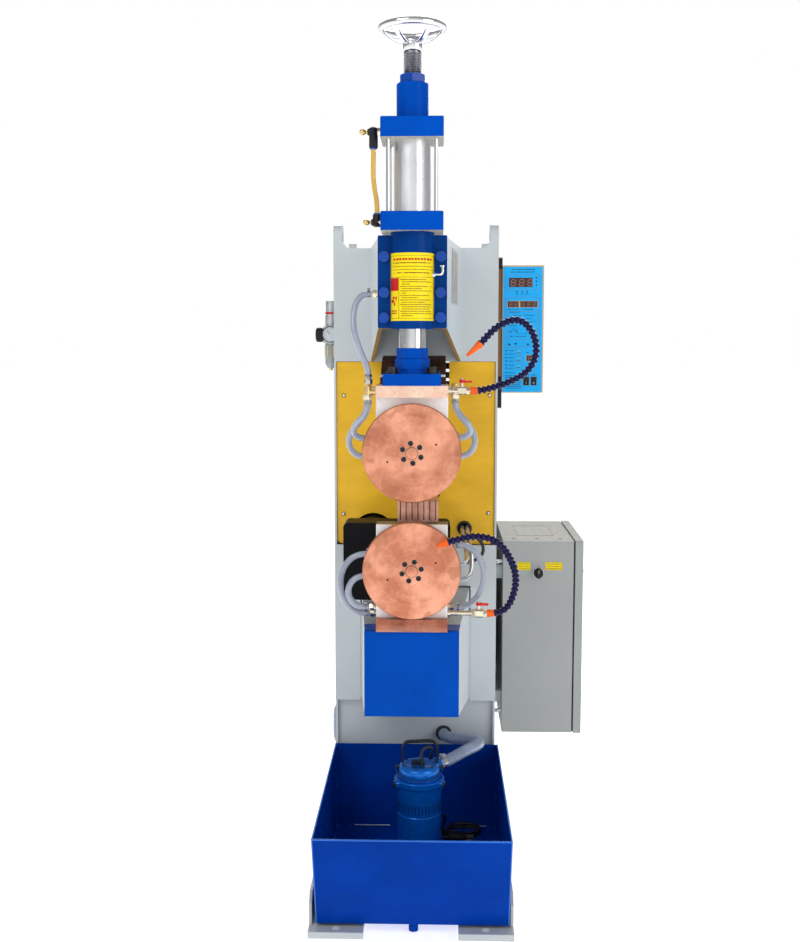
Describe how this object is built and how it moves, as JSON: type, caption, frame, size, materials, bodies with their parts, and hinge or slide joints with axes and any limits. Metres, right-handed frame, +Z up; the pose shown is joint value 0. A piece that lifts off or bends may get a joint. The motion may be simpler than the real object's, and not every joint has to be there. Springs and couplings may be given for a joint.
{
  "type": "roller spot welding machine",
  "caption": "Free-standing resistance welder with two copper wheel electrodes, air cylinder and handwheel stroke stop, driven lower wheel, coolant tank and pump.",
  "frame": {"origin": "centre of the four anchor holes of the base rails, at floor level", "axes": "+Z up, -Y towards the operator and the electrode wheels, +X to the operator's right"},
  "size_m": [0.675, 1.141, 1.84],
  "materials": {
    "grey_paint": "satin powder coat",
    "cabinet_paint": "fine texture powder coat",
    "blue_paint": "gloss enamel",
    "tank_paint": "gloss enamel",
    "laminate": "yellow glass-epoxy laminate",
    "galvanised": "zinc plated",
    "dark_steel": "blackened",
    "screw_steel": "oiled, threaded",
    "chrome": "polished",
    "aluminium": "honed",
    "copper": "turned copper",
    "dark_copper": "oxidised laminated copper",
    "brass": "plated",
    "black_paint": "satin",
    "gear_steel": "machined",
    "core_steel": "varnished laminations",
    "clear_hose": "translucent flexible tube",
    "amber_tube": "translucent polyurethane",
    "segment_blue": "moulded",
    "black_plastic": "moulded",
    "red_plastic": "dipped vinyl",
    "controller_blue": "printed overlay",
    "pump_paint": "gloss enamel",
    "black_rubber": "moulded"
  },
  "bodies": {
    "frame": {"base_rails": "grey_paint", "column_frame": "grey_paint", "rear_cover": "grey_paint", "insulating_panel": "laminate", "lower_front_cover": "grey_paint", "nose_box": "grey_paint", "lower_arm": "grey_paint", "arm_front_plate": "blue_paint", "coolant_tank": "tank_paint", "guide_housing": "blue_paint", "housing_bolts": "blue_paint", "cylinder_caps": "blue_paint", "cylinder_barrel": "aluminium", "tie_rods": "chrome", "lock_nut": "blue_paint", "lower_copper_plate": "copper", "lower_bearing_block": "grey_paint", "lower_bus": "copper", "gear_housing": "black_paint", "drive_motor": "black_paint", "transformer": "core_steel", "fixed_fittings": "brass", "lower_valve": "brass", "cabinet_box": "cabinet_paint", "controller_case": "controller_blue", "air_filter": "aluminium", "pump_body": "pump_paint", "pump_cord_hank": "black_rubber", "pump_plug": "black_rubber", "lower_hoses": "clear_hose", "pump_outlet_hose": "clear_hose", "pump_cord": "black_rubber", "air_tube": "amber_tube"},
    "head": {"piston_rod": "chrome", "ram_flange": "blue_paint", "flange_screws": "dark_steel", "upper_copper_plate": "copper", "upper_bearing_block": "grey_paint", "upper_valve": "brass", "head_fittings": "brass", "head_hoses": "clear_hose", "feed_hose": "clear_hose", "copper_shunt": "dark_copper"},
    "upper_rotor": {"upper_spindle": "dark_steel", "upper_wheel": "copper"},
    "lower_rotor": {"lower_spindle": "dark_steel", "lower_wheel": "copper", "drive_gear": "gear_steel"},
    "motor_rotor": {"pinion": "gear_steel"},
    "stroke_stop": {"adjusting_screw": "screw_steel"},
    "hand_wheel": {"handwheel": "chrome"},
    "door": {"cabinet_door": "cabinet_paint"},
    "selector": {"selector_knob": "black_plastic"},
    "rocker_one": {"left_rocker": "black_plastic"},
    "rocker_two": {"right_rocker": "black_plastic"},
    "upper_lever": {"upper_valve_lever": "red_plastic"},
    "lower_lever": {"lower_valve_lever": "red_plastic"},
    "upper_coolant": {"upper_coolant_hose": "segment_blue"},
    "lower_coolant": {"lower_coolant_hose": "segment_blue"},
    "air_knob": {"regulator_knob": "black_plastic"}
  },
  "joints": [
    {"name": "head_slide", "type": "slide", "parent": "frame", "child": "head", "axis": [0, 0, 1], "range_m": [-0.038, 0], "deforming": ["feed_hose", "copper_shunt"]},
    {"name": "upper_wheel_spin", "type": "hinge", "parent": "head", "child": "upper_rotor", "pos_m": [0, -0.43, 0.996], "axis": [0, 1, 0], "continuous": true},
    {"name": "lower_wheel_spin", "type": "hinge", "parent": "frame", "child": "lower_rotor", "pos_m": [0, -0.43, 0.756], "axis": [0, 1, 0], "continuous": true},
    {"name": "pinion_spin", "type": "hinge", "parent": "frame", "child": "motor_rotor", "pos_m": [-0.102, -0.3, 0.756], "axis": [0, 1, 0], "continuous": true},
    {"name": "stroke_stop_slide", "type": "slide", "parent": "frame", "child": "stroke_stop", "axis": [0, 0, 1], "range_m": [0, 0.02]},
    {"name": "handwheel_turn", "type": "hinge", "parent": "stroke_stop", "child": "hand_wheel", "pos_m": [0, -0.436, 1.8], "axis": [0, 0, 1], "range_deg": [0, 1800]},
    {"name": "door_hinge", "type": "hinge", "parent": "frame", "child": "door", "pos_m": [0.403, 0.4905, 0.46], "axis": [0, 0, 1], "range_deg": [0, 110]},
    {"name": "selector_turn", "type": "hinge", "parent": "frame", "child": "selector", "pos_m": [0.311, 0.13, 0.633], "axis": [0, 1, 0], "range_deg": [-45, 45]},
    {"name": "left_rocker_tip", "type": "hinge", "parent": "frame", "child": "rocker_one", "pos_m": [0.264, 0.0032, 1.126], "axis": [1, 0, 0], "range_deg": [-12, 0]},
    {"name": "right_rocker_tip", "type": "hinge", "parent": "frame", "child": "rocker_two", "pos_m": [0.282, 0.0032, 1.126], "axis": [1, 0, 0], "range_deg": [-12, 0]},
    {"name": "upper_valve_turn", "type": "hinge", "parent": "head", "child": "upper_lever", "pos_m": [0.101, -0.45, 1.138], "axis": [0, 0, 1], "range_deg": [-90, 0]},
    {"name": "lower_valve_turn", "type": "hinge", "parent": "frame", "child": "lower_lever", "pos_m": [0.138, -0.45, 0.68], "axis": [0, 0, 1], "range_deg": [-90, 0]},
    {"name": "upper_coolant_swivel", "type": "hinge", "parent": "head", "child": "upper_coolant", "pos_m": [0.12, -0.45, 1.12], "axis": [1, 0, 0], "range_deg": [-8, 30]},
    {"name": "lower_coolant_swivel", "type": "hinge", "parent": "frame", "child": "lower_coolant", "pos_m": [0.157, -0.45, 0.662], "axis": [1, 0, 0], "range_deg": [0, 30]},
    {"name": "regulator_turn", "type": "hinge", "parent": "frame", "child": "air_knob", "pos_m": [-0.24, 0.1, 1.237], "axis": [1, 0, 0], "continuous": true}
  ],
  "couplings": [
    {"joint": "pinion_spin", "follows": "lower_wheel_spin", "ratio": -1.8333},
    {"joint": "stroke_stop_slide", "follows": "handwheel_turn", "m_per_rad": 0.00063662}
  ]
}
